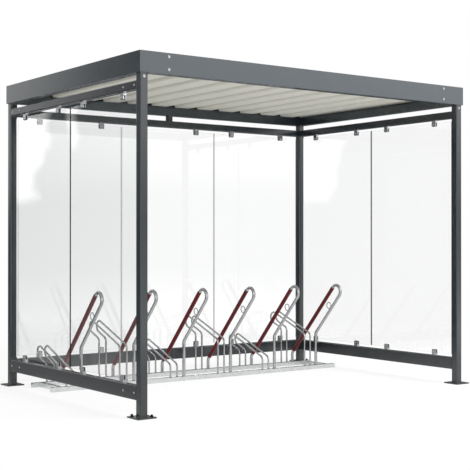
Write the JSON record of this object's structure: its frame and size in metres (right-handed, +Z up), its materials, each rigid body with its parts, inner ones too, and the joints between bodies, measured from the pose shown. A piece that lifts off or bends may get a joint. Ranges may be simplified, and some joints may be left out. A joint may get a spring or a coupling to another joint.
{
  "type": "bike shelter",
  "caption": "Open-fronted bike shelter: painted square-tube frame, ribbed metal roof, clamped clear panes on three sides and a galvanised rack with wheel hoops and lean bars.",
  "frame": {"origin": "ground level, under the middle of the roof", "axes": "+X along the back wall to the right seen from the open front, +Y to the back wall, +Z up"},
  "size_m": [3.28, 2.27, 2.53],
  "materials": {
    "frame_paint": "satin powder coat, anthracite grey",
    "roof_sheet": "matt coil coating, grey white",
    "pane_glass": "clear toughened glass, polished edges",
    "clip_metal": "polished stainless steel",
    "pad_rubber": "matt black rubber",
    "galvanised": "hot-dip galvanised, dull zinc spangle",
    "sleeve_red": "dark red soft plastic sleeve"
  },
  "bodies": {
    "root": {"post_front_left": "frame_paint", "post_front_right": "frame_paint", "post_back_left": "frame_paint", "post_back_right": "frame_paint", "roof_edge_front": "frame_paint", "roof_edge_back": "frame_paint", "roof_edge_left": "frame_paint", "roof_edge_right": "frame_paint", "roof_sheet": "roof_sheet", "upper_rail_left": "frame_paint", "upper_rail_back": "frame_paint", "upper_rail_right": "frame_paint", "lower_rail_left": "frame_paint", "lower_rail_back": "frame_paint", "lower_rail_right": "frame_paint", "back_stub": "frame_paint", "pane_left_1": "pane_glass", "pane_left_2": "pane_glass", "pane_back_1": "pane_glass", "pane_back_2": "pane_glass", "pane_back_3": "pane_glass", "pane_right_1": "pane_glass", "pane_right_2": "pane_glass", "clips_left": "clip_metal", "clips_back": "clip_metal", "clips_right": "clip_metal", "clip_pads": "pad_rubber", "rack_rail_front": "galvanised", "rack_rail_rear": "galvanised", "rack_cross_left": "galvanised", "rack_cross_right": "galvanised", "lean_bar_1": "galvanised", "lean_bar_2": "galvanised", "lean_bar_3": "galvanised", "lean_bar_4": "galvanised", "lean_bar_5": "galvanised", "lean_bar_6": "galvanised", "lean_sleeves": "sleeve_red", "wheel_hoop_1": "galvanised", "wheel_hoop_2": "galvanised", "wheel_hoop_3": "galvanised", "wheel_hoop_4": "galvanised", "wheel_hoop_5": "galvanised", "wheel_hoop_6": "galvanised"}
  },
  "joints": []
}
